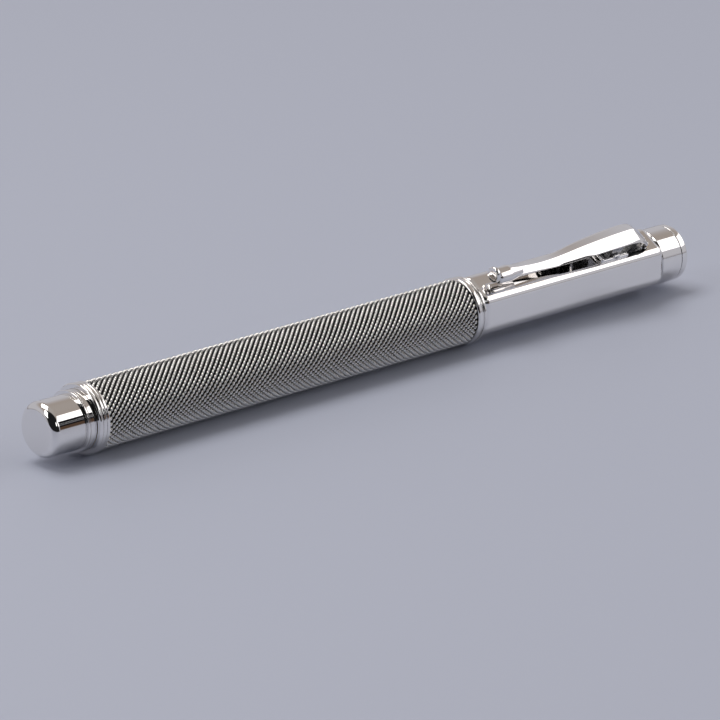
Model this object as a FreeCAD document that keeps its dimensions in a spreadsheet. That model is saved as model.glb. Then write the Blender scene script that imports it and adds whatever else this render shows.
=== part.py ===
import FreeCAD, Part
import os
import Sketcher

# A capped rollerball pen, lying along +X with +Z up, in millimetres.
# The origin is on the pen's axis at the flat end of the barrel; the crown is at the other end.
# Cap pieces are drawn with the clip on top (+Z) and rolled about the pen's axis by their Placement.

doc = FreeCAD.newDocument("rollerball_pen")
sheet = doc.addObject("Spreadsheet::Sheet", "Params")


class Dim:
    """A length: its value and the sheet expression that drives it."""

    def __init__(self, value, text):
        self.value = value
        self.text = text

    def mix(self, other, sign, result):
        other_text = other.text if isinstance(other, Dim) else str(other)
        return Dim(result, "(" + self.text + " " + sign + " " + other_text + ")")

    def __add__(self, other):
        return self.mix(other, "+", self.value + size_of(other))

    def __sub__(self, other):
        return self.mix(other, "-", self.value - size_of(other))

    def __mul__(self, other):
        return self.mix(other, "*", self.value * size_of(other))


def size_of(length):
    return length.value if isinstance(length, Dim) else length


row = 0


def dim(name, value):
    """Enter one driving dimension in the sheet and give it back as a Dim."""
    global row
    row += 1
    sheet.set("A" + str(row), name)
    sheet.set("B" + str(row), str(value))
    sheet.setAlias("B" + str(row), name)
    return Dim(float(value), "Params." + name)


# Whole pen
gap = dim("joint_gap", 0.05)
slip = dim("slip_gap", 0.02)
roll = dim("cap_roll", 32)

# Barrel
end_len = dim("end_cap_length", 6.4)
end_rad = dim("end_cap_radius", 4.47)
end_round = dim("end_cap_round", 1.42)
spigot_rad = dim("end_spigot_radius", 3.6)
spigot_end = dim("end_spigot_end", 11.5)
lip_rad = dim("end_lip_radius", 5.0)
band_rad = dim("end_band_radius", 4.9)
band_groove_rad = dim("end_band_groove_radius", 4.75)
bead_start = dim("bead_ring_start", 8.1)
bead_width = dim("bead_ring_width", 0.7)
bead_rad = dim("bead_ring_radius", 5.75)
double_start = dim("double_ring_start", 8.85)
double_width = dim("double_ring_width", 1.35)
double_rad = dim("double_ring_radius", 5.68)
tube_end = dim("tube_end", 88.6)
tube_rad = dim("tube_radius", 4.9)
tube_bore = dim("tube_bore", 4.1)
mesh_start = dim("mesh_start", 10.25)
mesh_end = dim("mesh_end", 87.75)
mesh_rad = dim("mesh_radius", 5.48)
front_start = dim("front_ring_start", 87.8)
front_end = dim("front_ring_end", 88.85)
front_rad = dim("front_ring_radius", 5.65)
bush_start = dim("bush_start", 80)
bush_bore = dim("bush_bore", 3.68)

# Writing section
joint_face = dim("section_joint", 89.2)
seal_width = dim("seal_width", 0.24)
screw_start = dim("screw_start", 80.5)
screw_rad = dim("screw_radius", 3.62)
section_bore = dim("section_bore", 3.05)
collar_end = dim("collar_end", 91)
collar_rad = dim("collar_radius", 4.12)
grip_end = dim("grip_end", 113)
grip_back_rad = dim("grip_back_radius", 3.95)
grip_mid_rad = dim("grip_waist_radius", 3.6)
grip_front_rad = dim("grip_front_radius", 3.48)
cone_end = dim("cone_end", 123.5)
cone_mouth = dim("cone_mouth_radius", 0.95)
cone_shoulder = dim("cone_shoulder", 114.5)

# Refill
refill_start = dim("refill_start", 16.3)
refill_rad = dim("refill_radius", 2.9)
refill_bore = dim("refill_bore", 2.6)
nose_end = dim("refill_nose_end", 119.2)
nose_rad = dim("refill_nose_radius", 1.6)
point_end = dim("point_end", 125.6)
point_rad = dim("point_radius", 1.15)
ball_rad = dim("ball_radius", 0.3)
feed_rad = dim("feed_radius", 0.4)

# Cap
cap_start = dim("cap_start", 89.2)
cap_lip_rad = dim("cap_lip_radius", 5.62)
hex_start = dim("hex_start", 89.75)
hex_end = dim("hex_end", 131.35)
hex_flats = dim("hex_flats", 10)
hex_round = dim("hex_corner_round", 1.9)
cap_bore = dim("cap_bore", 4.45)
liner_start = dim("liner_start", 104)
liner_end = dim("liner_end", 129.3)
liner_rad = dim("liner_radius", 3.85)
liner_bore = dim("liner_bore", 3.66)
crown_start = dim("crown_start", 131.4)
crown_end = dim("crown_end", 136.2)
crown_rad = dim("crown_radius", 4.88)
total = dim("total_length", 137.6)

# Clip
pivot_x = dim("pivot_along", 120.4)
pivot_w = dim("pivot_height", 5.5)
pin_rad = dim("pin_radius", 0.3)
slot_start = dim("slot_start", 117.8)
slot_step = dim("slot_step", 123.2)
slot_end = dim("slot_end", 129.75)
slot_narrow = dim("slot_narrow_half", 1.6)
slot_wide = dim("slot_wide_half", 1.95)
rail_start = dim("rail_start", 116.8)
rail_side = dim("rail_outer_side", 2.15)
rail_top = dim("rail_top", 6.05)
sheet_thick = dim("clip_sheet", 0.45)

doc.recompute()


def plane_of(body, role):
    """One of the body's own origin planes."""
    return next(part for part in body.Origin.OriginFeatures if part.Role == role)


def new_body(name, rolled):
    """An empty body whose label names its file; cap pieces are rolled about the pen's axis."""
    body = doc.addObject("PartDesign::Body", name)
    body.Label = name
    if rolled:
        body.Placement = FreeCAD.Placement(
            FreeCAD.Vector(0, 0, 0), FreeCAD.Rotation(FreeCAD.Vector(1, 0, 0), roll.value)
        )
        body.setExpression("Placement.Rotation.Angle", roll.text)
    return body


def outline(body, name, role, points, offset=None):
    """A closed sketch of straight lines whose corners are held to the sheet's dimensions."""
    sketch = body.newObject("Sketcher::SketchObject", name)
    sketch.AttachmentSupport = [(plane_of(body, role), "")]
    sketch.MapMode = "FlatFace"
    if offset is not None:
        sketch.AttachmentOffset = FreeCAD.Placement(
            FreeCAD.Vector(0, 0, size_of(offset)), FreeCAD.Rotation()
        )
        if isinstance(offset, Dim):
            sketch.setExpression("AttachmentOffset.Base.z", offset.text)
    spots = [FreeCAD.Vector(size_of(a), size_of(b), 0) for a, b in points]
    count = len(spots)
    lines = [Part.LineSegment(spots[i], spots[(i + 1) % count]) for i in range(count)]
    sketch.addGeometry(lines, False)
    rules = [Sketcher.Constraint("Coincident", i, 2, (i + 1) % count, 1) for i in range(count)]
    driven = []
    for i, (a, b) in enumerate(points):
        for kind, axis, length in (("DistanceX", -2, a), ("DistanceY", -1, b)):
            if size_of(length) == 0:
                rules.append(Sketcher.Constraint("PointOnObject", i, 1, axis))
                continue
            if isinstance(length, Dim):
                driven.append((len(rules), length.text))
            rules.append(Sketcher.Constraint(kind, -1, 1, i, 1, size_of(length)))
    sketch.addConstraint(rules)
    for index, text in driven:
        sketch.setExpression("Constraints[" + str(index) + "]", text)
    return sketch


def turned(name, points, rolled=False):
    """A piece turned on a lathe: the outline gives (distance along the pen, radius)."""
    body = new_body(name, rolled)
    sketch = outline(body, name + "_outline", "XZ_Plane", points)
    turn = body.newObject("PartDesign::Revolution", name + "_turn")
    turn.Profile = sketch
    turn.ReferenceAxis = (sketch, ["H_Axis"])
    turn.Angle = 360
    sketch.Visibility = False
    doc.recompute()
    return body


def cut_turned(body, name, points):
    """Turn a groove, a chamfer or a bore out of a body, and check that it cut."""
    before = body.Shape.Volume
    sketch = outline(body, name + "_outline", "XZ_Plane", points)
    groove = body.newObject("PartDesign::Groove", name)
    groove.Profile = sketch
    groove.ReferenceAxis = (sketch, ["H_Axis"])
    groove.Angle = 360
    doc.recompute()
    if body.Shape.Volume > before - 0.001:
        raise RuntimeError(name + " removed nothing")


def bar(name, role, points, length, rolled, midplane):
    """A straight piece: its outline padded square to one of the origin planes."""
    body = new_body(name, rolled)
    sketch = outline(body, name + "_outline", role, points)
    pad = body.newObject("PartDesign::Pad", name + "_pad")
    pad.Profile = sketch
    pad.Midplane = midplane
    pad.Length = size_of(length)
    if isinstance(length, Dim):
        pad.setExpression("Length", length.text)
    doc.recompute()
    return body


def cut_block(body, name, role, points, length, reverse, midplane=False):
    """Cut a straight-sided opening into a body, and check that it cut."""
    before = body.Shape.Volume
    sketch = outline(body, name + "_outline", role, points)
    pocket = body.newObject("PartDesign::Pocket", name)
    pocket.Profile = sketch
    pocket.Midplane = midplane
    pocket.Reversed = reverse
    pocket.Length = size_of(length)
    doc.recompute()
    if body.Shape.Volume > before - 0.001:
        raise RuntimeError(name + " removed nothing")


def rings_at(body, spots):
    """Names of the circular edges that lie at the given (distance along, radius) spots."""
    found = []
    shape = body.Tip.Shape
    for index, edge in enumerate(shape.Edges, 1):
        if not isinstance(edge.Curve, Part.Circle):
            continue
        for along, radius in spots:
            near = abs(edge.Curve.Center.x - size_of(along)) < 0.01
            if near and abs(edge.Curve.Radius - size_of(radius)) < 0.01:
                found.append("Edge" + str(index))
    return found


def rounded(body, spots, radius):
    """Round a turned piece's circular edges."""
    names = rings_at(body, spots)
    if not names:
        raise RuntimeError(body.Label + " has no edge to round")
    base = body.Tip
    fillet = body.newObject("PartDesign::Fillet", body.Name + "_round_" + str(len(body.Group)))
    fillet.Base = (base, names)
    fillet.Radius = size_of(radius)
    if isinstance(radius, Dim):
        fillet.setExpression("Radius", radius.text)
    doc.recompute()


def tube_points(start, end, bore, outer):
    return [(start, bore), (end, bore), (end, outer), (start, outer)]


# ---- Barrel: the polished end, its rings, the woven sleeve on its tube, and the screw bush ----

end_cap = turned(
    "barrel_end_cap",
    [(0, 0), (0, end_rad), (end_len, end_rad), (end_len, spigot_rad), (spigot_end, spigot_rad),
     (spigot_end, 0)],
)
rounded(end_cap, [(0, end_rad)], end_round)

end_band = turned(
    "barrel_end_band",
    [(end_len + slip, spigot_rad + slip), (end_len + slip, lip_rad), (end_len + 0.3, lip_rad),
     (end_len + 0.3, band_groove_rad), (end_len + 0.5, band_groove_rad),
     (end_len + 0.5, band_rad), (bead_start - slip, band_rad),
     (bead_start - slip, spigot_rad + slip)],
)

bead_ring = turned(
    "barrel_bead_ring",
    tube_points(bead_start, bead_start + bead_width, tube_rad + slip, bead_rad),
)
rounded(
    bead_ring,
    [(bead_start, bead_rad), (bead_start + bead_width, bead_rad)],
    bead_width * 0.35,
)

double_ring = turned(
    "barrel_double_ring",
    [(double_start, tube_rad + slip), (double_start, double_rad),
     (double_start + double_width * 0.47, double_rad),
     (double_start + double_width * 0.47, double_rad - 0.2),
     (double_start + double_width * 0.53, double_rad - 0.2),
     (double_start + double_width * 0.53, double_rad),
     (double_start + double_width, double_rad),
     (double_start + double_width, tube_rad + slip)],
)
rounded(
    double_ring,
    [(double_start, double_rad), (double_start + double_width, double_rad)],
    0.25,
)

turned(
    "barrel_tube",
    [(bead_start, spigot_rad + slip), (spigot_end, spigot_rad + slip), (spigot_end, tube_bore),
     (tube_end, tube_bore), (tube_end, tube_rad), (bead_start, tube_rad)],
)

turned("mesh_sleeve", tube_points(mesh_start, mesh_end, tube_rad + slip, mesh_rad))

front_ring = turned(
    "barrel_front_ring",
    tube_points(front_start, front_end, tube_rad + slip, front_rad),
)
rounded(front_ring, [(front_start, front_rad), (front_end, front_rad)], 0.25)

turned(
    "barrel_thread_bush",
    tube_points(bush_start, front_end - gap, bush_bore, tube_bore - slip),
)

# The coil's envelope: it presses the refill forward against the section's shoulder
turned(
    "refill_spring",
    tube_points(spigot_end + slip, refill_start - 0.45, 1.7, 2.3),
)

# ---- Joint of section and barrel: the seal that is pinched when the section is screwed home ----

turned(
    "section_seal",
    tube_points(joint_face - seal_width - slip, joint_face - slip, screw_rad + 0.06, 4.3),
)

# ---- Writing section: screwed collar, grip and polished cone ----

turned(
    "section_screw",
    tube_points(screw_start, collar_end, section_bore, screw_rad),
)
collar = turned(
    "section_collar",
    tube_points(joint_face, collar_end, screw_rad + slip, collar_rad),
)
rounded(collar, [(collar_end, collar_rad)], 0.2)

grip = turned(
    "grip_section",
    [(collar_end + slip, section_bore), (collar_end + slip, grip_back_rad),
     (collar_end + 11, grip_mid_rad), (grip_end, grip_front_rad), (grip_end, section_bore)],
)
rounded(grip, [(grip_end, grip_front_rad)], 0.15)

turned(
    "section_cone",
    [(grip_end + slip, section_bore), (cone_shoulder, section_bore),
     (cone_shoulder, nose_rad + 0.1), (nose_end, nose_rad + 0.1), (nose_end + 0.6, 1.25),
     (cone_end - 1, 1.25), (cone_end, cone_mouth), (cone_end, cone_mouth + 0.55),
     (grip_end + slip, grip_front_rad - slip)],
)

# ---- Refill: tube with its wick, end plug, nose, point and rolling ball ----

turned(
    "refill_tube",
    tube_points(refill_start, cone_shoulder - gap, refill_bore, refill_rad),
)
turned(
    "refill_end_plug",
    [(refill_start - 0.4, 0), (refill_start - 0.4, refill_bore), (refill_start - slip, refill_bore),
     (refill_start - slip, refill_bore - slip), (refill_start + 2.7, refill_bore - slip),
     (refill_start + 2.7, 0)],
)
turned(
    "ink_wick",
    [(refill_start + 2.8, 0), (refill_start + 2.8, refill_bore - 0.1),
     (cone_shoulder - 4.7, refill_bore - 0.1), (cone_shoulder - 4.7, 0)],
)
turned(
    "refill_nose",
    [(cone_shoulder - 4.5, feed_rad + slip), (cone_shoulder - 4.5, refill_bore - slip),
     (cone_shoulder - gap, refill_bore - slip), (cone_shoulder - gap, nose_rad),
     (nose_end - 0.6, nose_rad), (nose_end, nose_rad - 0.4), (nose_end, feed_rad + slip)],
)
turned(
    "ink_feed",
    [(cone_shoulder - 4.6, 0), (cone_shoulder - 4.6, feed_rad), (point_end - 3.2, feed_rad),
     (point_end - 3.2, 0)],
)
turned(
    "refill_point",
    [(nose_end + slip, feed_rad + slip), (point_end - 3.1, feed_rad + slip),
     (point_end - 3.1, 0.15), (point_end - 0.36, 0.15), (point_end - 0.36, ball_rad + slip),
     (point_end, ball_rad + slip), (point_end, ball_rad + 0.12), (nose_end + 2, point_rad),
     (nose_end + slip, point_rad)],
)
ball = doc.addObject("Part::Sphere", "refill_ball")
ball.Label = "refill_ball"
ball.Radius = ball_rad.value
ball.setExpression("Radius", ball_rad.text)
ball.Placement = FreeCAD.Placement(
    FreeCAD.Vector(point_end.value, 0, 0), FreeCAD.Rotation(FreeCAD.Vector(0, 1, 0), 90)
)
ball.setExpression("Placement.Base.x", point_end.text)

# ---- Cap: hexagonal shell between a round lip and a round crown ----

lip_ring = turned(
    "cap_lip_ring",
    tube_points(cap_start, hex_start - slip, collar_rad + 0.08, cap_lip_rad),
    rolled=True,
)
rounded(lip_ring, [(cap_start, cap_lip_rad), (hex_start - slip, cap_lip_rad)], 0.2)

shell = new_body("cap_shell", True)
half_flat = hex_flats * 0.5
corner = hex_flats * 0.57735
side = hex_flats * 0.288675
hexagon = outline(
    shell,
    "cap_shell_hexagon",
    "YZ_Plane",
    [(side, half_flat), (side * -1, half_flat), (corner * -1, 0), (side * -1, half_flat * -1),
     (side, half_flat * -1), (corner, 0)],
    offset=hex_start,
)
shell_pad = shell.newObject("PartDesign::Pad", "cap_shell_pad")
shell_pad.Profile = hexagon
shell_pad.Length = (hex_end - hex_start).value
shell_pad.setExpression("Length", (hex_end - hex_start).text)
doc.recompute()
long_edges = [
    "Edge" + str(i)
    for i, edge in enumerate(shell_pad.Shape.Edges, 1)
    if edge.BoundBox.XLength > 10
]
shell_corners = shell.newObject("PartDesign::Fillet", "cap_shell_corners")
shell_corners.Base = (shell_pad, long_edges)
shell_corners.Radius = hex_round.value
shell_corners.setExpression("Radius", hex_round.text)
doc.recompute()
cut_turned(
    shell,
    "cap_shell_mouth_chamfer",
    [(hex_start - 0.1, half_flat - 0.05), (hex_start - 0.1, half_flat + 1.5),
     (hex_start + 1.45, half_flat + 1.5)],
)
cut_turned(
    shell,
    "cap_shell_crown_chamfer",
    [(hex_end + 0.1, half_flat - 0.05), (hex_end + 0.1, half_flat + 1.5),
     (hex_end - 1.2, half_flat + 1.5)],
)
cut_turned(
    shell,
    "cap_shell_bore",
    [(hex_start - 1, 0), (hex_start - 1, cap_bore), (hex_end + 1, cap_bore), (hex_end + 1, 0)],
)
cut_block(
    shell,
    "cap_shell_slot_front",
    "XY_Plane",
    [(slot_start, slot_narrow * -1), (slot_step + 0.2, slot_narrow * -1),
     (slot_step + 0.2, slot_narrow), (slot_start, slot_narrow)],
    8,
    True,
)
cut_block(
    shell,
    "cap_shell_slot_back",
    "XY_Plane",
    [(slot_step, slot_wide * -1), (slot_end, slot_wide * -1), (slot_end, slot_wide),
     (slot_step, slot_wide)],
    8,
    True,
)

turned(
    "cap_snap_ring",
    tube_points(hex_start + gap, hex_start + 1.3, collar_rad + 0.04, cap_bore - slip),
    rolled=True,
)
turned(
    "cap_liner",
    [(liner_start, liner_bore), (liner_end - 0.6, liner_bore), (liner_end - 0.6, 0),
     (liner_end, 0), (liner_end, liner_rad), (liner_start + 0.6, liner_rad),
     (liner_start + 0.6, cap_bore - slip), (liner_start, cap_bore - slip)],
    rolled=True,
)
turned(
    "cap_plug",
    [(liner_end + 0.1, 1.85), (liner_end + 0.95, 1.85), (liner_end + 0.95, 0.95),
     (crown_start + 1.6, 0.95), (crown_start + 1.6, 3), (hex_end, 3), (hex_end, cap_bore - slip),
     (liner_end + 0.1, cap_bore - slip)],
    rolled=True,
)
turned(
    "crown_screw",
    [(liner_end + 0.1, 0), (liner_end + 0.1, 1.8), (liner_end + 0.9, 1.8),
     (liner_end + 0.9, 0.9), (crown_start + 2.8, 0.9), (crown_start + 2.8, 0)],
    rolled=True,
)
crown = turned(
    "crown",
    [(crown_start, 3.03), (crown_start + 1.7, 3.03), (crown_start + 1.7, 0.93),
     (crown_start + 2.9, 0.93), (crown_start + 2.9, 2), (crown_end, 2), (crown_end, crown_rad),
     (crown_start, crown_rad)],
    rolled=True,
)
rounded(crown, [(crown_start, crown_rad)], 0.3)
crown_disc = turned(
    "crown_disc",
    [(crown_start + 3, 0), (crown_start + 3, 1.97), (crown_end + slip, 1.97),
     (crown_end + slip, crown_rad - 0.05), (total, crown_rad - 0.05), (total, 0)],
    rolled=True,
)
rounded(crown_disc, [(total, crown_rad - 0.05)], 0.35)

# ---- Clip bracket on the shell's top flat: two rails with a cross piece, pin and leaf spring ----

bracket = bar(
    "clip_bracket",
    "XZ_Plane",
    [(rail_start, half_flat + 0.01), (slot_step, half_flat + 0.01), (slot_step, rail_top - 0.35),
     (slot_step - 0.35, rail_top), (rail_start + 1.5, rail_top), (rail_start, rail_top - 0.5)],
    rail_side * 2,
    True,
    True,
)
cut_block(
    bracket,
    "clip_bracket_channel",
    "XY_Plane",
    [(rail_start + 0.8, (slot_narrow + slip) * -1), (slot_step + 1, (slot_narrow + slip) * -1),
     (slot_step + 1, slot_narrow + slip), (rail_start + 0.8, slot_narrow + slip)],
    8,
    True,
)
cut_block(
    bracket,
    "clip_bracket_pin_hole",
    "XZ_Plane",
    [(pivot_x - pin_rad - slip, pivot_w - pin_rad - slip),
     (pivot_x + pin_rad + slip, pivot_w - pin_rad - slip),
     (pivot_x + pin_rad + slip, pivot_w + pin_rad + slip),
     (pivot_x - pin_rad - slip, pivot_w + pin_rad + slip)],
    8,
    False,
    True,
)

pin = doc.addObject("Part::Cylinder", "clip_pin")
pin.Label = "clip_pin"
pin.Radius = pin_rad.value
pin.Height = rail_side.value * 2 + 0.1
pin.setExpression("Radius", pin_rad.text)
pin.setExpression("Height", (rail_side * 2 + 0.1).text)
pin_turn = FreeCAD.Rotation(FreeCAD.Vector(1, 0, 0), roll.value)
pin_seat = FreeCAD.Placement(
    FreeCAD.Vector(pivot_x.value, rail_side.value + 0.05, pivot_w.value),
    FreeCAD.Rotation(FreeCAD.Vector(1, 0, 0), 90),
)
pin.Placement = FreeCAD.Placement(FreeCAD.Vector(0, 0, 0), pin_turn) * pin_seat

bar(
    "clip_spring",
    "XZ_Plane",
    [(slot_start - 1.4, 4.02), (slot_end - 0.4, 4.02), (slot_end - 0.4, 4.22),
     (slot_step + 1, 4.22), (slot_step + 2.9, 6.3), (slot_step + 2.6, 6.45),
     (slot_step + 0.2, 4.22), (slot_start - 1.4, 4.22)],
    2,
    True,
    True,
)

# ---- Clip: a folded sheet with a ridge, its foot, the bead at its tip and its hinge block ----


def lofted(name, stations):
    """A piece lofted straight through cross-sections, each at its own distance along the pen."""
    body = new_body(name, True)
    sections = []
    for index, (along, points) in enumerate(stations):
        sections.append(
            outline(body, name + "_section_" + str(index), "YZ_Plane", points, offset=along)
        )
    loft = body.newObject("PartDesign::AdditiveLoft", name + "_loft")
    loft.Profile = sections[0]
    loft.Sections = sections[1:]
    loft.Ruled = True
    doc.recompute()
    return body


def roof(ridge, half_width, edge, thick):
    """A roof-shaped strip of sheet: its ridge height, half width, edge height and thickness."""
    return [
        (0, ridge), (half_width, edge), (half_width - 0.1, edge - thick), (0, ridge - thick),
        ((half_width - 0.1) * -1, edge - thick), (half_width * -1, edge),
    ]


arm_front = dim("arm_front", 98.5)
arm_waist = dim("arm_waist", 103.4)
arm_swell = dim("arm_swell", 108.6)
arm_mid = dim("arm_middle", 112.5)
arm_top = dim("arm_top", 122.6)
arm_turn = dim("arm_turn", 124.9)
arm_heel = dim("arm_heel", 127.3)
arm_end = dim("arm_end", 129.2)
ridge_front = dim("ridge_front", 7.7)
ridge_waist = dim("ridge_waist", 7.3)
ridge_swell = dim("ridge_swell", 7.7)
ridge_mid = dim("ridge_middle", 8.47)
ridge_top = dim("ridge_top", 9.52)
half_front = dim("half_front", 1.35)
half_waist = dim("half_waist", 1.2)
half_swell = dim("half_swell", 1.55)
half_mid = dim("half_middle", 1.87)
half_top = dim("half_top", 2.25)
half_heel = dim("half_heel", 1.85)
half_end = dim("half_end", 0.9)
doc.recompute()

lofted(
    "clip_arm",
    [(arm_front, roof(ridge_front, half_front, ridge_front - 0.75, sheet_thick)),
     (arm_waist, roof(ridge_waist, half_waist, ridge_waist - 0.6, sheet_thick)),
     (arm_swell, roof(ridge_swell, half_swell, ridge_swell - 0.75, sheet_thick)),
     (arm_mid, roof(ridge_mid, half_mid, ridge_mid - 0.87, sheet_thick)),
     (arm_top, roof(ridge_top, half_top, ridge_top - 1.1, sheet_thick)),
     (arm_turn, roof(ridge_top - 0.3, half_top, ridge_top - 1.3, sheet_thick * 1.4)),
     (arm_heel, roof(ridge_top - 2.45, half_heel, ridge_top - 3.6, sheet_thick * 1.4)),
     (arm_end, roof(half_flat + 0.2, half_end, half_flat + 0.05, sheet_thick))],
)


def foot(top, half_width, shoulder, low, low_half):
    """A solid foot: ridge height, half width, shoulder height, sole height and its half width."""
    return [
        (0, top), (half_width, shoulder), (low_half, low), (low_half * -1, low),
        (half_width * -1, shoulder),
    ]


foot_tip = dim("foot_tip", 93.2)
foot_low = dim("foot_sole_height", 5.75)
foot_half = dim("foot_half_width", 1.6)
doc.recompute()
lofted(
    "clip_foot",
    [(foot_tip, foot(ridge_front + 0.3, foot_half * 0.55, ridge_front - 0.4, foot_low + 0.8, 0.6)),
     (foot_tip + 0.7, foot(ridge_front + 0.3, foot_half, ridge_front - 0.6, foot_low + 0.2, 0.9)),
     (foot_tip + 2.4, foot(ridge_front + 0.15, foot_half, ridge_front - 0.7, foot_low, 0.9)),
     (foot_tip + 4.3, foot(ridge_front + 0.05, foot_half, ridge_front - 0.7, foot_low + 0.3, 0.9)),
     (arm_front - gap, foot(ridge_front, half_front, ridge_front - 0.7, foot_low + 1.1, 0.8))],
)

bead_rad = dim("clip_bead_radius", 1.35)
bead_thick = dim("clip_bead_thickness", 0.9)
doc.recompute()
bead = doc.addObject("Part::Cylinder", "clip_bead")
bead.Label = "clip_bead"
bead.Radius = bead_rad.value
bead.Height = bead_thick.value
bead.setExpression("Radius", bead_rad.text)
bead.setExpression("Height", bead_thick.text)
bead_seat = FreeCAD.Placement(
    FreeCAD.Vector(foot_tip.value - bead_thick.value - 0.05, 0, ridge_front.value - 0.25),
    FreeCAD.Rotation(FreeCAD.Vector(0, 1, 0), 90),
)
bead.Placement = FreeCAD.Placement(FreeCAD.Vector(0, 0, 0), pin_turn) * bead_seat

block = bar(
    "clip_hinge_block",
    "XZ_Plane",
    [(pivot_x - 1.1, half_flat + 0.1), (pivot_x + 1.1, half_flat + 0.1),
     (pivot_x + 1.3, ridge_top - 1.75), (pivot_x - 1.3, ridge_top - 1.95)],
    (slot_narrow - 0.08) * 2,
    True,
    True,
)
cut_block(
    block,
    "clip_hinge_block_bore",
    "XZ_Plane",
    [(pivot_x - pin_rad - 0.04, pivot_w - pin_rad - 0.04),
     (pivot_x + pin_rad + 0.04, pivot_w - pin_rad - 0.04),
     (pivot_x + pin_rad + 0.04, pivot_w + pin_rad + 0.04),
     (pivot_x - pin_rad - 0.04, pivot_w + pin_rad + 0.04)],
    8,
    False,
    True,
)

# ---- Check every object, then write one file per piece ----

doc.recompute()
for item in doc.Objects:
    if "Invalid" in item.State or "Error" in item.State:
        raise RuntimeError(item.Name + " is in state " + str(item.State))
os.makedirs("parts", exist_ok=True)
pieces = [
    item
    for item in doc.Objects
    if item.TypeId in ("PartDesign::Body", "Part::Sphere", "Part::Cylinder", "Part::Feature")
]
for piece in pieces:
    shape = piece.Shape
    if shape.isNull() or not shape.isValid() or len(shape.Solids) != 1:
        raise RuntimeError(piece.Label + " is not one valid solid")
    shape.exportStep("parts/" + piece.Label + ".step")
    box = shape.BoundBox
    print(
        "%-20s x %7.2f %7.2f  y %6.2f %6.2f  z %6.2f %6.2f  volume %8.3f"
        % (piece.Label, box.XMin, box.XMax, box.YMin, box.YMax, box.ZMin, box.ZMax, shape.Volume)
    )
print(len(pieces), "pieces")
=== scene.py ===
import math

import bpy
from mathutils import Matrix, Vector


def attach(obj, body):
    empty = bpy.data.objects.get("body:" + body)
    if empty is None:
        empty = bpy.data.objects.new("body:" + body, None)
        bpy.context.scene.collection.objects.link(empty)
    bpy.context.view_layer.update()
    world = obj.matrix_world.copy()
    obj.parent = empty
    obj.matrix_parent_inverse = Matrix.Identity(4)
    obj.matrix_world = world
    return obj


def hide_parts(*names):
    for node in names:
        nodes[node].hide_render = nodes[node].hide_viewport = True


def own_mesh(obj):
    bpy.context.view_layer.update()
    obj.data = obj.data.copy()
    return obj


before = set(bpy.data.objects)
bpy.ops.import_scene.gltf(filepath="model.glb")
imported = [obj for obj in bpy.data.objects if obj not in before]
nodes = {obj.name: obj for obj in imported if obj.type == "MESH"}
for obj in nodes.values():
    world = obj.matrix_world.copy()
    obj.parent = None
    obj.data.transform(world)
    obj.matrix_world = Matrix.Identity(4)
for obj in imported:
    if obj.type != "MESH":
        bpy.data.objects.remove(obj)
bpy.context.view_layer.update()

# Barrel end cap: turned brass, polished and plated, with a flat end and a deep rounded edge.
# It is pushed into the tube by its spigot. All turned pieces are made the way this one is: the
# profile is drawn from one point, then spun about the pen's axis.
MM = 0.001


def eased(corners, closed):
    """Round a profile's corners; each corner is (along, radius) or (along, radius, rounding)."""
    points = []
    count = len(corners)
    for i, corner in enumerate(corners):
        here = Vector((corner[0], corner[1], 0))
        rounding = corner[2] if len(corner) > 2 else 0
        if not rounding or (not closed and i in (0, count - 1)):
            points.append(here)
            continue
        before = Vector((*corners[i - 1][:2], 0)) - here
        after = Vector((*corners[(i + 1) % count][:2], 0)) - here
        half = before.angle(after) / 2
        rounding = min(rounding, 0.49 * min(before.length, after.length) * math.tan(half))
        before.normalize()
        after.normalize()
        centre = here + (before + after).normalized() * (rounding / math.sin(half))
        first = here + before * (rounding / math.tan(half)) - centre
        last = here + after * (rounding / math.tan(half)) - centre
        steps = max(4, round(math.degrees(math.pi - 2 * half) / 9))
        for step in range(steps + 1):
            points.append(centre + first.slerp(last, step / steps) * rounding)
    return points


def finish_mesh(piece, sharp=35, has_flats=True):
    """Merge, face outwards, shade smooth up to an angle, and hold flat faces flat."""
    bpy.ops.object.mode_set(mode="EDIT")
    bpy.ops.mesh.select_all(action="SELECT")
    bpy.ops.mesh.remove_doubles(threshold=0.4e-6)
    bpy.ops.mesh.normals_make_consistent(inside=False)
    bpy.ops.object.mode_set(mode="OBJECT")
    bpy.ops.object.shade_smooth_by_angle(angle=math.radians(sharp))
    if has_flats:
        hold = piece.modifiers.new("hold flats", "WEIGHTED_NORMAL")
        hold.keep_sharp = True
        bpy.ops.object.modifier_apply(modifier=hold.name)


def turned(name, corners, closed=True, around=160, sharp=35):
    """A piece spun about the pen's axis from its profile, in millimetres."""
    points = eased(corners, closed)
    if closed:
        points.append(points[0])
    bpy.ops.object.select_all(action="DESELECT")
    start = points[0]
    bpy.ops.mesh.primitive_plane_add(size=MM, location=(start.x * MM, 0, start.y * MM))
    piece = bpy.context.object
    piece.name = name
    bpy.ops.object.transform_apply(location=True, rotation=True, scale=True)
    bpy.ops.object.mode_set(mode="EDIT")
    bpy.ops.mesh.select_all(action="SELECT")
    bpy.ops.mesh.merge(type="CENTER")
    for here, there in zip(points, points[1:]):
        step = ((there.x - here.x) * MM, 0, (there.y - here.y) * MM)
        bpy.ops.mesh.extrude_region_move(TRANSFORM_OT_translate={"value": step})
    bpy.ops.mesh.select_all(action="SELECT")
    bpy.ops.mesh.spin(steps=around, angle=math.tau, center=(0, 0, 0), axis=(1, 0, 0))
    bpy.ops.object.mode_set(mode="OBJECT")
    finish_mesh(piece, sharp)
    return piece


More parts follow.
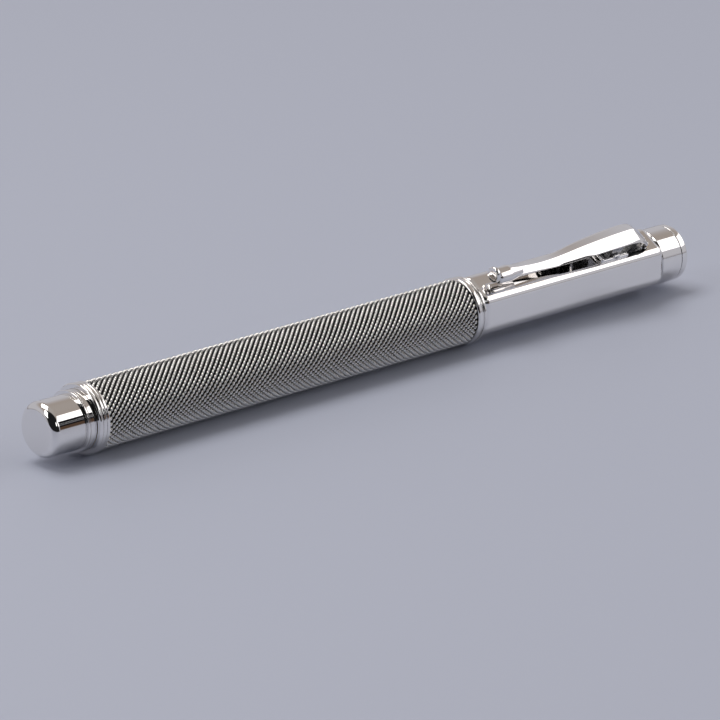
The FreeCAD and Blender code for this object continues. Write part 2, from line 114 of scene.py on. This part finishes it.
class Term:
    """A shader socket that can be used in sums."""

    def __init__(self, recipe, socket):
        self.recipe = recipe
        self.socket = socket

    def sum(self, operation, first, second):
        return self.recipe.add("Math", {"operation": operation}, {0: first, 1: second})

    def __add__(self, other):
        return self.sum("ADD", self, other)

    def __mul__(self, other):
        return self.sum("MULTIPLY", self, other)

    __radd__ = __add__
    __rmul__ = __mul__


class Recipe:
    """A material built round one Principled shader; plain numbers go straight on its sockets."""

    def __init__(self, name, fixed):
        self.material = bpy.data.materials.new(name)
        self.material.use_nodes = True
        self.tree = self.material.node_tree
        self.shader = self.tree.nodes["Principled BSDF"]
        for socket, value in fixed.items():
            self.shader.inputs[socket].default_value = value
        self.place = self.add("TexCoord", {}, {}, "Object")

    def add(self, kind, settings, inputs, output=0):
        """Any node: its settings first, then the values or links of its sockets."""
        made = self.tree.nodes.new("ShaderNode" + kind)
        for setting, value in settings.items():
            if setting == "stops":
                ramp = made.color_ramp
                while len(ramp.elements) < len(value):
                    ramp.elements.new(1.0)
                for stop, (spot, colour) in zip(ramp.elements, value):
                    stop.position = spot
                    stop.color = (*colour, 1)
            else:
                setattr(made, setting, value)
        for socket, value in inputs.items():
            if isinstance(value, Term):
                self.tree.links.new(value.socket, made.inputs[socket])
            else:
                made.inputs[socket].default_value = value
        return Term(self, made.outputs[output])

    def noise(self, scale, detail, stretch=(1, 1, 1)):
        """Soft noise, with its scale in features to a millimetre."""
        where = self.add("Mapping", {}, {"Vector": self.place, "Scale": stretch})
        wanted = {"Vector": where, "Scale": scale / MM, "Detail": detail}
        return self.add("TexNoise", {}, wanted, "Fac")

    def colour(self, amount, first, second):
        """A mix of two colours by an amount."""
        settings = {"data_type": "RGBA"}
        return self.add("Mix", settings, {0: amount, 6: (*first, 1), 7: (*second, 1)}, 2)

    def feed(self, socket, term):
        self.tree.links.new(term.socket, self.shader.inputs[socket])

    def bump(self, height, depth, strength=1.0):
        wanted = {"Height": height, "Distance": depth * MM, "Strength": strength}
        self.feed("Normal", self.add("Bump", {}, wanted))

    def on(self, *pieces):
        for piece in pieces:
            piece.data.materials.clear()
            piece.data.materials.append(self.material)


# Bright plating: almost a mirror, with a breath of haze and the finest rubbed lines.
polish, haze = 0.015, 0.03
plating = Recipe("bright plating", {"Metallic": 1.0, "IOR": 2.5})
cloud = plating.noise(0.16, 2)
rubbed = plating.noise(0.9, 2, (0.25, 9, 9))
plating.feed("Base Color", plating.colour(cloud, (0.90, 0.885, 0.87), (0.86, 0.845, 0.835)))
plating.feed("Roughness", cloud * haze + rubbed * (haze * 0.6) + polish)
plating.bump(rubbed, 0.0004, 0.25)

end_cap = turned(
    "Barrel_end",
    [(0, 0), (0, 4.47, 1.42), (6.4, 4.47, 0.05), (6.4, 3.6, 0.05), (11.4, 3.6, 0.2), (11.4, 0)],
    closed=False,
    around=192,
    sharp=50,
)
plating.on(end_cap)
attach(end_cap, "barrel")
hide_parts("barrel_end_cap")

# Rings between the barrel's end and the sleeve: a thin raised lip with a plain band, a rounded
# bead, and a ring with two beads that grips the sleeve's edge. Turned, polished and plated.
end_band = turned(
    "End_band",
    [(6.42, 3.62), (6.42, 4.99, 0.1), (6.72, 4.99, 0.1), (6.78, 4.74), (6.9, 4.74),
     (6.93, 4.9, 0.03), (8.0, 4.9, 0.05), (8.1, 4.7), (8.1, 3.62)],
)
bead_ring = turned(
    "Bead_ring",
    [(8.1, 4.6), (8.1, 5.74, 0.3), (8.8, 5.74, 0.33), (8.8, 4.6)],
)
double_ring = turned(
    "Double_bead_ring",
    [(8.84, 4.6), (8.84, 5.67, 0.28), (9.5, 5.67, 0.28), (9.5, 5.36), (9.54, 5.36),
     (9.54, 5.67, 0.28), (10.19, 5.67, 0.28), (10.19, 4.6)],
)
for ring, node in (
    (end_band, "barrel_end_band"),
    (bead_ring, "barrel_bead_ring"),
    (double_ring, "barrel_double_ring"),
):
    plating.on(ring)
    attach(ring, "barrel")
    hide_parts(node)

# Barrel tube and thread bush: drawn and turned brass, left bare where the sleeve hides it.
# The bush is cut with the thread that the section screws into.
brass = Recipe("bare brass", {"Metallic": 1.0})
drawn = brass.noise(0.5, 3, (0.15, 6, 6))
brass.feed("Base Color", brass.colour(drawn, (0.72, 0.53, 0.26), (0.82, 0.64, 0.35)))
brass.feed("Roughness", drawn * 0.2 + 0.2)
brass.on(nodes["barrel_tube"], nodes["barrel_thread_bush"])

# Woven sleeve: round steel wire linked into a flexible mesh, stretched over the barrel tube. Its
# crests stand out as rows of short slanted bars. The near-black bed seen in the gaps between them
# is painted shade, standing in for the shade deep between the wires.
sleeve_start, sleeve_end, sleeve_radius = 10.2, 87.8, 5.47
bars_along, rows_round = 72, 72
spare_length, first_crest = 0.2, 0.35
crest_length, crest_width, crest_height, crest_lean = 0.68, 0.37, 0.28, 24
bar_pitch = (sleeve_end - sleeve_start - spare_length) / bars_along

ground = turned(
    "Sleeve_ground",
    [(sleeve_start, 4.93), (sleeve_start, 5.12), (sleeve_end, 5.12), (sleeve_end, 4.93)],
    around=96,
)
# The bed's near-black colour is painted shade: it stands in for the shade deep in the gaps between
# the wires.
painted_shade = Recipe("blackened wire bed", {"Specular IOR Level": 0.1})
depth = painted_shade.noise(1.4, 2)
painted_shade.feed("Base Color", painted_shade.colour(depth, (0.002, 0.002, 0.002), (0.012, 0.011, 0.01)))
painted_shade.feed("Roughness", depth * 0.3 + 0.45)
painted_shade.on(ground)
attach(ground, "barrel")


def wire_crests(name, first_bar, bars):
    """Slanted wire crests in staggered rows: one bar, repeated along, then spun round."""
    bpy.ops.object.select_all(action="DESELECT")
    bpy.ops.mesh.primitive_uv_sphere_add(segments=8, ring_count=6, radius=0.5 * MM)
    piece = bpy.context.object
    piece.name = name
    bpy.ops.object.mode_set(mode="EDIT")
    bpy.ops.mesh.select_all(action="SELECT")
    bpy.ops.transform.rotate(value=math.radians(90), orient_axis="X", center_override=(0, 0, 0))
    bpy.ops.transform.resize(
        value=(crest_width, crest_length, crest_height * 2), center_override=(0, 0, 0)
    )
    bpy.ops.mesh.bisect(
        plane_co=(0, 0, -0.3 * crest_height * MM),
        plane_no=(0, 0, 1),
        use_fill=True,
        clear_inner=True,
    )
    bpy.ops.mesh.mark_sharp()
    bpy.ops.mesh.select_all(action="SELECT")
    bpy.ops.transform.rotate(
        value=math.radians(crest_lean), orient_axis="Z", center_override=(0, 0, 0)
    )
    start = sleeve_start + first_crest + first_bar * bar_pitch
    shift = (start * MM, 0, (sleeve_radius - crest_height) * MM)
    bpy.ops.transform.translate(value=shift)
    bpy.ops.object.mode_set(mode="OBJECT")
    row = piece.modifiers.new("row", "ARRAY")
    row.count = bars
    row.use_relative_offset = False
    row.use_constant_offset = True
    row.constant_offset_displace = (bar_pitch * MM, 0, 0)
    bpy.ops.object.modifier_apply(modifier=row.name)
    bpy.ops.object.mode_set(mode="EDIT")
    bpy.ops.mesh.select_all(action="SELECT")
    bpy.ops.mesh.duplicate_move(TRANSFORM_OT_translate={"value": (bar_pitch / 2 * MM, 0, 0)})
    bpy.ops.transform.rotate(
        value=math.tau / rows_round, orient_axis="X", center_override=(0, 0, 0)
    )
    # The spin's last step lands on its start, so the topmost pair of rows is laid twice.
    bpy.ops.mesh.select_all(action="SELECT")
    bpy.ops.mesh.spin(
        steps=rows_round // 2, angle=math.tau, center=(0, 0, 0), axis=(1, 0, 0), dupli=True
    )
    bpy.ops.mesh.remove_doubles(threshold=0.3e-6)
    bpy.ops.mesh.normals_make_consistent(inside=False)
    bpy.ops.object.mode_set(mode="OBJECT")
    bpy.ops.object.shade_smooth()
    return piece


wire = Recipe("steel wire", {"Metallic": 1.0})
pull = wire.noise(3.0, 2)
wear = wire.noise(0.25, 2)
wire.feed("Base Color", wire.colour(wear, (0.88, 0.87, 0.84), (0.96, 0.95, 0.92)))
wire.feed("Roughness", pull * 0.12 + wear * 0.06 + 0.12)
wire.bump(pull, 0.01, 0.3)
half_bars = bars_along // 2
for half, letter in enumerate("ab"):
    crests = wire_crests("Wire_crests_" + letter, half * half_bars, half_bars)
    wire.on(crests)
    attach(crests, "barrel")
    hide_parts("mesh_sleeve")

# Front ring: holds the sleeve's front edge and is what the closed cap meets. Turned brass with
# rounded edges, polished and plated.
front_ring = turned(
    "Front_ring",
    [(87.82, 4.93), (87.82, 5.64, 0.3), (88.84, 5.64, 0.3), (88.84, 4.93)],
)
plating.on(front_ring)
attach(front_ring, "barrel")
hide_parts("barrel_front_ring")

# Refill spring: a coil of hard steel wire at the blind end of the barrel. It stands on the end
# cap's spigot and shortens when the refill is pressed back.
spring_start, spring_coils, spring_pitch = 11.65, 6, 0.68
spring_radius, spring_wire = 2.0, 0.15
bpy.ops.object.select_all(action="DESELECT")
bpy.ops.mesh.primitive_circle_add(
    vertices=10, radius=spring_wire * MM, location=(0, 0, 0), rotation=(math.radians(90), 0, 0)
)
spring = bpy.context.object
spring.name = "Refill_spring"
bpy.ops.object.transform_apply(location=True, rotation=True, scale=True)
bpy.ops.object.mode_set(mode="EDIT")
bpy.ops.mesh.select_all(action="SELECT")
bpy.ops.transform.translate(value=(spring_start * MM, 0, spring_radius * MM))
bpy.ops.object.mode_set(mode="OBJECT")
coil = spring.modifiers.new("coil", "SCREW")
coil.axis = "X"
coil.angle = math.tau
coil.screw_offset = spring_pitch * MM
coil.iterations = spring_coils - 1
coil.steps = 40
coil.render_steps = 40
coil.use_merge_vertices = False
bpy.ops.object.modifier_apply(modifier=coil.name)
bpy.ops.object.mode_set(mode="EDIT")
bpy.ops.mesh.select_all(action="SELECT")
bpy.ops.mesh.fill_holes(sides=0)
bpy.ops.object.mode_set(mode="OBJECT")
finish_mesh(spring, 60)
spring_steel = Recipe("spring steel", {"Metallic": 1.0})
grain = spring_steel.noise(2.0, 3)
spring_steel.feed("Base Color", spring_steel.colour(grain, (0.42, 0.42, 0.43), (0.55, 0.55, 0.56)))
spring_steel.feed("Roughness", grain * 0.15 + 0.18)
spring_steel.on(spring)
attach(spring, "barrel")
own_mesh(spring)
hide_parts("refill_spring")

# Seal: a rubber O-ring against the barrel's mouth. It is pinched between the barrel and the
# section, which stops the section working loose.
seal = turned(
    "Section_seal",
    [(88.94, 3.68, 0.1), (88.94, 4.3, 0.11), (89.17, 4.3, 0.11), (89.17, 3.68, 0.1)],
)
rubber = Recipe("seal rubber", {"Specular IOR Level": 0.3})
bloom = rubber.noise(1.2, 3)
rubber.feed("Base Color", rubber.colour(bloom, (0.012, 0.012, 0.012), (0.03, 0.03, 0.03)))
rubber.feed("Roughness", bloom * 0.2 + 0.55)
rubber.on(seal)
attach(seal, "seal")
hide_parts("section_seal")

# Section: the brass screw that enters the barrel, a plated collar, the black lacquered grip and
# the plated cone at the point. Turned parts pressed into each other.
brass.on(nodes["section_screw"])
collar = turned(
    "Section_collar",
    [(89.2, 3.64), (89.2, 4.11, 0.12), (90.98, 4.11, 0.12), (90.98, 3.64)],
)
plating.on(collar)
grip = turned(
    "Grip",
    [(91.03, 3.06), (91.03, 3.94, 0.15), (96, 3.82), (102, 3.6), (107.5, 3.5), (112.98, 3.47, 0.1),
     (112.98, 3.06)],
)
lacquer = Recipe("black lacquer", {"Coat Roughness": 0.03, "IOR": 1.5})
flow = lacquer.noise(0.25, 2)
lacquer.feed("Base Color", lacquer.colour(flow, (0.004, 0.004, 0.0045), (0.008, 0.008, 0.009)))
lacquer.feed("Roughness", flow * 0.05 + 0.08)
lacquer.feed("Coat Weight", flow * 0.1 + 0.85)
lacquer.on(grip)
cone = turned(
    "Section_cone",
    [(113.03, 3.05), (113.03, 3.45, 0.08), (114.2, 3.42), (123.5, 1.5, 0.2), (123.5, 0.96),
     (120.4, 1.3), (116.4, 2.6)],
)
plating.on(cone)
for piece, node, finish in (
    (collar, "section_collar", "polished_plate"),
    (grip, "grip_section", "grip_lacquer"),
    (cone, "section_cone", "polished_plate"),
):
    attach(piece, "section")
    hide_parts(node)

# Refill: a moulded tube with an end plug, a fibre ink store, a nose, a feed rod and a steel
# point that holds the ball.
moulding = Recipe("refill moulding", {"Roughness": 0.35, "Subsurface Weight": 0.1})
flow = moulding.noise(0.4, 2)
moulding.feed("Base Color", moulding.colour(flow, (0.10, 0.11, 0.13), (0.14, 0.15, 0.17)))
moulding.on(nodes["refill_tube"], nodes["refill_nose"], nodes["refill_end_plug"])
fibre = Recipe("ink fibre", {"Specular IOR Level": 0.2})
strand = fibre.noise(2.0, 4, (0.1, 3, 3))
fibre.feed("Base Color", fibre.colour(strand, (0.005, 0.005, 0.012), (0.03, 0.03, 0.05)))
fibre.feed("Roughness", strand * 0.2 + 0.7)
fibre.on(nodes["ink_wick"], nodes["ink_feed"])
point_steel = Recipe("point steel", {"Metallic": 1.0})
turning = point_steel.noise(1.5, 2, (6, 1, 1))
point_steel.feed("Base Color", point_steel.colour(turning, (0.60, 0.58, 0.54), (0.72, 0.70, 0.66)))
point_steel.feed("Roughness", turning * 0.1 + 0.15)
point_steel.on(nodes["refill_point"], nodes["refill_ball"])

# Cap lip: a turned ring with a rounded edge at the cap's mouth, polished and plated. It is
# pressed onto the end of the shell.
lip_ring = turned(
    "Cap_lip",
    [(88.93, 4.38), (88.93, 5.36, 0.08), (89.18, 5.36, 0.03), (89.2, 5.6, 0.14),
     (89.72, 5.6, 0.16), (89.72, 4.38)],
)
plating.on(lip_ring)
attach(lip_ring, "cap")
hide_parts("cap_lip_ring")

# Cap shell: six-sided drawn tube with rounded corners, turned to a bevel at both ends, with a
# slot for the clip. Polished and plated. The cap is rolled so that the clip leans to the front.
roll = math.radians(32)
across_flats, corner_rounding = 10.0, 1.9
blank_middle, blank_length = 110.6, 42


def rolled(piece):
    """Turn a piece of the cap from clip-up to where the cap stands on the barrel."""
    bpy.ops.object.select_all(action="DESELECT")
    piece.select_set(True)
    bpy.context.view_layer.objects.active = piece
    piece.rotation_euler = (roll, 0, 0)
    bpy.ops.object.transform_apply(location=True, rotation=True, scale=True)


def cut(piece, tool, operation):
    """Cut one piece by another and throw the cutting piece away."""
    bpy.ops.object.select_all(action="DESELECT")
    piece.select_set(True)
    bpy.context.view_layer.objects.active = piece
    blade = piece.modifiers.new("cut", "BOOLEAN")
    blade.object = tool
    blade.operation = operation
    blade.solver = "EXACT"
    bpy.ops.object.modifier_apply(modifier=blade.name)
    bpy.data.objects.remove(tool)


def solid_outline(name, outline, low, high):
    """A flat outline (along, across) filled and raised from one height to another."""
    bpy.ops.object.select_all(action="DESELECT")
    start = outline[0]
    bpy.ops.mesh.primitive_plane_add(size=MM, location=(start[0] * MM, -start[1] * MM, low * MM))
    piece = bpy.context.object
    piece.name = name
    bpy.ops.object.transform_apply(location=True, rotation=True, scale=True)
    bpy.ops.object.mode_set(mode="EDIT")
    bpy.ops.mesh.select_all(action="SELECT")
    bpy.ops.mesh.merge(type="CENTER")
    for here, there in zip(outline, outline[1:] + outline[:1]):
        step = ((there[0] - here[0]) * MM, -(there[1] - here[1]) * MM, 0)
        bpy.ops.mesh.extrude_region_move(TRANSFORM_OT_translate={"value": step})
    bpy.ops.mesh.select_all(action="SELECT")
    bpy.ops.mesh.remove_doubles(threshold=0.4e-6)
    bpy.ops.mesh.edge_face_add()
    bpy.ops.mesh.select_all(action="SELECT")
    bpy.ops.mesh.extrude_region_move(
        TRANSFORM_OT_translate={"value": (0, 0, (high - low) * MM)}
    )
    bpy.ops.mesh.select_all(action="SELECT")
    bpy.ops.mesh.normals_make_consistent(inside=False)
    bpy.ops.object.mode_set(mode="OBJECT")
    return piece


bpy.ops.object.select_all(action="DESELECT")
bpy.ops.mesh.primitive_cylinder_add(
    vertices=6,
    radius=across_flats / 2 / math.cos(math.pi / 6) * MM,
    depth=blank_length * MM,
    location=(blank_middle * MM, 0, 0),
    rotation=(0, math.radians(90), 0),
)
shell = bpy.context.object
shell.name = "Cap_shell"
bpy.ops.object.transform_apply(location=True, rotation=True, scale=True)
bpy.ops.object.mode_set(mode="EDIT")
bpy.ops.mesh.select_all(action="DESELECT")
bpy.ops.object.mode_set(mode="OBJECT")
for edge in shell.data.edges:
    first, second = (shell.data.vertices[i].co for i in edge.vertices)
    edge.select = abs(first.x - second.x) > blank_length / 2 * MM
bpy.ops.object.mode_set(mode="EDIT")
bpy.ops.mesh.select_mode(type="EDGE")
bpy.ops.mesh.bevel(offset=corner_rounding * math.tan(math.pi / 6) * MM, segments=8)
bpy.ops.mesh.select_mode(type="VERT")
bpy.ops.object.mode_set(mode="OBJECT")
ends = turned(
    "Bevelled_ends",
    [(89.75, 4.45), (89.75, 5.05), (90.4, 5.7), (130.82, 5.7), (131.35, 5.07), (131.35, 4.45)],
    around=192,
)
cut(shell, ends, "INTERSECT")
slot_half = [(117.8, 1.6), (123.2, 1.6), (123.35, 2.12), (125.6, 2.3), (127.1, 2.12),
             (128.2, 1.65), (129.0, 1.15), (129.6, 0.5)]
slot_outline = slot_half + [(along, -across) for along, across in reversed(slot_half)]
cut(shell, solid_outline("Clip_slot", slot_outline, 3.8, 6.2), "DIFFERENCE")
rolled(shell)
finish_mesh(shell, 25)
plating.on(shell)
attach(shell, "cap")
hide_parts("cap_shell")

# Inside the cap: a snap ring at the mouth, a moulded liner, and the plug and screw that hold
# the crown.
liner_plastic = Recipe("liner plastic", {"Roughness": 0.45})
flow = liner_plastic.noise(0.3, 2)
liner_black = liner_plastic.colour(flow, (0.02, 0.02, 0.022), (0.035, 0.035, 0.038))
liner_plastic.feed("Base Color", liner_black)
liner_plastic.on(nodes["cap_liner"])
spring_steel.on(nodes["cap_snap_ring"], nodes["clip_spring"])
brass.on(nodes["cap_plug"], nodes["crown_screw"])

# Crown: a plain turned drum with a flat disc let into its top, both polished and plated. A screw
# from inside the cap holds it.
crown = turned(
    "Crown",
    [(131.42, 3.02), (131.42, 4.6, 0.08), (131.6, 4.87, 0.06), (136.17, 4.87, 0.28),
     (136.17, 4.4), (134.42, 4.4), (134.42, 3.02)],
    around=192,
)
crown_disc = turned(
    "Crown_disc",
    [(134.42, 0), (134.42, 4.38), (136.23, 4.38), (136.23, 4.82, 0.05), (137.58, 4.82, 0.38),
     (137.58, 0)],
    closed=False,
    around=192,
)
for piece, node in ((crown, "crown"), (crown_disc, "crown_disc")):
    plating.on(piece)
    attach(piece, "cap")
    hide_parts(node)

# Clip bracket: two bright rails beside the slot with a knuckle at the front, where the clip's
# pin passes. A plated casting soldered to the shell.
def eased_block(name, low, high, ease):
    """A block between two corners (along, across, up) with its edges eased."""
    middle = (Vector(low) + Vector(high)) / 2
    size = Vector(high) - Vector(low)
    bpy.ops.object.select_all(action="DESELECT")
    bpy.ops.mesh.primitive_cube_add(size=MM, location=(middle.x * MM, -middle.y * MM, middle.z * MM))
    piece = bpy.context.object
    piece.name = name
    piece.scale = size
    bpy.ops.object.transform_apply(location=True, rotation=True, scale=True)
    bpy.ops.object.mode_set(mode="EDIT")
    bpy.ops.mesh.select_all(action="SELECT")
    bpy.ops.mesh.bevel(offset=ease * MM, segments=4)
    bpy.ops.object.mode_set(mode="OBJECT")
    return piece


near_rail = eased_block("Clip_bracket", (116.85, 1.6, 5.005), (123.3, 2.17, 5.66), 0.26)
far_rail = eased_block("Far_rail", (116.85, -2.17, 5.005), (123.3, -1.6, 5.66), 0.26)
near_ear = eased_block("Near_ear", (119.6, 1.64, 5.1), (121.2, 2.13, 6.04), 0.22)
far_ear = eased_block("Far_ear", (119.6, -2.13, 5.1), (121.2, -1.64, 6.04), 0.22)
knuckle = eased_block("Knuckle", (116.82, -2.1, 5.01), (117.62, 2.1, 5.9), 0.3)
bpy.ops.object.select_all(action="DESELECT")
for piece in (near_rail, far_rail, near_ear, far_ear, knuckle):
    piece.select_set(True)
bpy.context.view_layer.objects.active = near_rail
bpy.ops.object.join()
rolled(near_rail)
finish_mesh(near_rail, 40)
plating.on(near_rail)
spring_steel.on(nodes["clip_pin"])
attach(near_rail, "cap")
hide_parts("clip_bracket")

# Clip arm: one piece of sheet folded along a sharp ridge, wider and higher towards the crown,
# then turned down behind in a rounded plate that enters the slot. Polished and plated.
sheet_thickness = 0.45
# Each row is the ridge (along, up), then the edge (along, across, up), then how round it is.
arm_rows = [
    (95.6, 7.88, 95.6, 1.40, 7.15, 0),
    (98.46, 7.70, 98.46, 1.35, 6.95, 0),
    (101.0, 7.42, 101.0, 1.24, 6.78, 0),
    (103.4, 7.30, 103.4, 1.20, 6.70, 0),
    (106.0, 7.42, 106.0, 1.34, 6.77, 0),
    (108.6, 7.76, 108.6, 1.55, 7.00, 0),
    (112.5, 8.47, 112.5, 1.87, 7.60, 0),
    (117.6, 9.13, 117.6, 2.12, 8.14, 0),
    (122.6, 9.52, 122.6, 2.25, 8.42, 0),
    (124.0, 9.42, 125.1, 2.22, 8.16, 0),
    (124.25, 9.28, 125.35, 2.2, 8.02, 0.3),
    (126.5, 7.72, 126.85, 2.12, 7.22, 1),
    (128.3, 6.25, 127.3, 2.05, 6.2, 1),
    (129.2, 5.3, 127.2, 1.8, 5.35, 1),
    (129.0, 4.98, 127.0, 1.55, 5.02, 1),
]
# Where each column stands, as a share of the half width, closer together at the ridge.
across = [-1, -0.8, -0.6, -0.4, -0.2, -0.06, 0, 0.06, 0.2, 0.4, 0.6, 0.8, 1]
fold_row = 9  # the last row before the sheet turns down


def smooth_rows(rows, splits):
    """Rows added between the given ones along a smooth curve."""
    filled = []
    for i in range(len(rows) - 1):
        before = rows[max(i - 1, 0)]
        first, second = rows[i], rows[i + 1]
        after = rows[min(i + 2, len(rows) - 1)]
        for step in range(splits):
            t = step / splits
            filled.append(tuple(
                0.5 * (2 * b + (c - a) * t + (2 * a - 5 * b + 4 * c - d) * t**2
                       + (3 * b - a - 3 * c + d) * t**3)
                for a, b, c, d in zip(before, first, second, after)
            ))
    return filled + [rows[-1]]


rows = smooth_rows(arm_rows[: fold_row + 1], 4) + smooth_rows(arm_rows[fold_row + 1 :], 5)
bpy.ops.object.select_all(action="DESELECT")
bpy.ops.mesh.primitive_grid_add(
    x_subdivisions=len(rows) - 1, y_subdivisions=len(across) - 1, size=2
)
arm = bpy.context.object
arm.name = "Clip_arm"
for vertex in arm.data.vertices:
    row = rows[round((vertex.co.x + 1) / 2 * (len(rows) - 1))]
    t = across[round((vertex.co.y + 1) / 2 * (len(across) - 1))]
    ridge_x, ridge_up, edge_x, edge_out, edge_up, round_off = row
    fall = (1 - round_off) * abs(t) + round_off * t * t
    vertex.co = Vector((
        ridge_x + (edge_x - ridge_x) * fall,
        edge_out * t,
        ridge_up + (edge_up - ridge_up) * fall,
    )) * MM
wall = arm.modifiers.new("wall", "SOLIDIFY")
wall.thickness = sheet_thickness * MM
wall.offset = -1
wall.use_even_offset = True
bpy.ops.object.modifier_apply(modifier=wall.name)
ease = arm.modifiers.new("eased edges", "BEVEL")
ease.width = 0.05 * MM
ease.segments = 2
ease.limit_method = "ANGLE"
ease.angle_limit = math.radians(70)
bpy.ops.object.modifier_apply(modifier=ease.name)
rolled(arm)
finish_mesh(arm, 30, has_flats=False)
plating.on(arm)
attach(arm, "clip")
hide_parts("clip_arm")

# Clip foot and bead: a smooth rounded foot that bears on the cap, with a small turned disc as
# the finger pull at its tip. Both are plated and brazed to the arm.
def lifted(up, widening=1):
    """Widen the piece that was just turned and lift it from the axis to the clip's tip."""
    bpy.ops.object.mode_set(mode="EDIT")
    bpy.ops.mesh.select_all(action="SELECT")
    bpy.ops.transform.resize(value=(1, widening, 1), center_override=(0, 0, 0))
    bpy.ops.transform.translate(value=(0, 0, up * MM))
    bpy.ops.object.mode_set(mode="OBJECT")


foot = turned(
    "Clip_foot",
    [(93.2, 0), (93.2, 1.14, 0.6), (96.0, 1.2, 2), (98.9, 0.8, 0.3), (98.9, 0)],
    closed=False,
    around=64,
)
lifted(6.84, 1.3)
rolled(foot)
finish_mesh(foot, 40)
bead = turned(
    "Clip_bead",
    [(92.26, 0), (92.26, 0.8, 0.3), (92.34, 1.33, 0.3), (93.0, 1.33, 0.25), (93.14, 0.8, 0.1),
     (93.18, 0.6), (93.18, 0)],
    closed=False,
    around=96,
)
lifted(7.45)
rolled(bead)
plating.on(foot, bead)
spring_steel.on(nodes["clip_hinge_block"])
for piece, node in ((foot, "clip_foot"), (bead, "clip_bead")):
    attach(piece, "clip")
    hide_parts(node)

# Studio floor: one plain pale sheet with a slight sheen, just under the pen's lowest rings.
# Its tone drifts a little, as paper's does.
bpy.ops.object.select_all(action="DESELECT")
bpy.ops.mesh.primitive_plane_add(size=6, location=(0.07, 0, -5.76 * MM))
floor = bpy.context.object
floor.name = "Studio_floor"
bpy.ops.object.transform_apply(location=True, rotation=True, scale=True)
sheet = Recipe("studio sheet", {"Roughness": 0.5})
mottle = sheet.noise(0.004, 2)
sheet.feed("Base Color", sheet.colour(mottle, (0.455, 0.485, 0.585), (0.47, 0.50, 0.60)))
sheet.on(floor)


# Studio cards: a black board with a brown foot, a grey strip and a thin white strip stands to the
# front right of the pen. It is seen only as a reflection, mostly on the barrel's end.
def card(name, tint, width, height, place):
    """An upright card that faces the pen's side."""
    bpy.ops.object.select_all(action="DESELECT")
    bpy.ops.mesh.primitive_plane_add(size=1, location=place, rotation=(math.radians(90), 0, 0))
    board = bpy.context.object
    board.name = name
    board.scale = (width, height, 1)
    bpy.ops.object.transform_apply(location=True, rotation=True, scale=True)
    paint = Recipe(name, {"Roughness": 0.7, "Specular IOR Level": 0.1})
    cloud = paint.noise(0.01, 2)
    paint.feed("Base Color", paint.colour(cloud, tint, tuple(0.9 * part for part in tint)))
    paint.on(board)
    board.visible_shadow = False
    board.visible_diffuse = False
    board.visible_camera = False


card("Black_board", (0.006, 0.006, 0.007), 0.135, 0.165, (0.192, -0.25, 0.095))
card("Brown_foot", (0.13, 0.075, 0.045), 0.135, 0.05, (0.192, -0.249, 0.035))
card("Grey_strip", (0.3, 0.3, 0.31), 0.135, 0.012, (0.192, -0.249, 0.095))
card("White_strip", (0.9, 0.9, 0.9), 0.135, 0.004, (0.192, -0.2485, 0.12))


# Studio lamps: a broad box over the back, a long box to the front right that draws the white
# line along every rounding, two small ones at the front, and a surround that is dark in front.
def lamp(name, place, aim, size, watts, tint):
    """A soft box of a given size that points at the aim."""
    made = bpy.data.lights.new(name, "AREA")
    made.shape = "RECTANGLE"
    made.size, made.size_y = size
    made.energy = watts
    made.color = tint
    holder = bpy.data.objects.new(name, made)
    bpy.context.collection.objects.link(holder)
    holder.location = place
    holder.rotation_euler = (Vector(aim) - Vector(place)).to_track_quat("-Z", "Y").to_euler()
    holder.visible_camera = False


lamp("Overhead_box", (-0.05, 0.35, 0.9), (0.07, 0, 0), (0.6, 0.5), 4.2, (1.0, 0.985, 0.97))
lamp("Front_right_box", (0.646, -0.46, 0.49), (0.07, 0, 0), (1.5, 0.42), 2.3, (1.0, 0.99, 0.985))
lamp("Left_strip", (-0.42, 0.06, 0.38), (0, 0, 0), (0.16, 0.34), 0.5, (1.0, 1.0, 1.0))
lamp("Front_lamp", (-0.07, -0.44, 0.235), (0, 0, 0), (0.06, 0.12), 0.06, (1.0, 1.0, 1.0))

world = bpy.data.worlds.new("Studio surround")
world.use_nodes = True
bpy.context.scene.world = world


class Surround(Recipe):
    """Light from all round, mixed by the direction that it comes from."""

    def __init__(self, tree):
        self.tree = tree


room = Surround(world.node_tree)
facing = room.add("TexCoord", {}, {}, "Generated")
height = room.add("SeparateXYZ", {}, {0: facing}, "Z")
tones = (
    (0.0, (0.30, 0.29, 0.31)),
    (0.1, (0.5, 0.495, 0.53)),
    (0.5, (0.5, 0.49, 0.52)),
    (0.72, (0.36, 0.315, 0.285)),
    (1.0, (0.4, 0.375, 0.355)),
)
ramp = room.add("ValToRGB", {"stops": tones}, {0: height})
toward_dark = {0: facing, 1: (-0.64, -0.70, 0.32)}
behind = room.add("VectorMath", {"operation": "DOT_PRODUCT"}, toward_dark, "Value")
spread = {0: behind, 1: 0.45, 2: 0.6, 3: 0.0, 4: 1.0}
dark_side = room.add("MapRange", {"interpolation_type": "SMOOTHSTEP"}, spread)
sides = {0: dark_side, 6: ramp, 7: (0.012, 0.012, 0.013, 1)}
mixed = room.add("Mix", {"data_type": "RGBA"}, sides, 2)
world.node_tree.links.new(mixed.socket, world.node_tree.nodes["Background"].inputs["Color"])

# Camera: low, from the front left of the barrel's end, with the cap running away to the right.
# The lens is long, so the pen narrows only a little with distance.
eye = bpy.data.cameras.new("Camera")
eye.lens = 236.2
eye.sensor_width = 36
eye.clip_start = 0.01
watcher = bpy.data.objects.new("Camera", eye)
bpy.context.collection.objects.link(watcher)
watcher.location = (-0.419319, -0.535150, 0.238332)
sight = Vector((0.637499, 0.702078, -0.317305))
watcher.rotation_euler = sight.to_track_quat("-Z", "Y").to_euler()
bpy.context.scene.camera = watcher
bpy.context.scene.view_settings.view_transform = "Standard"
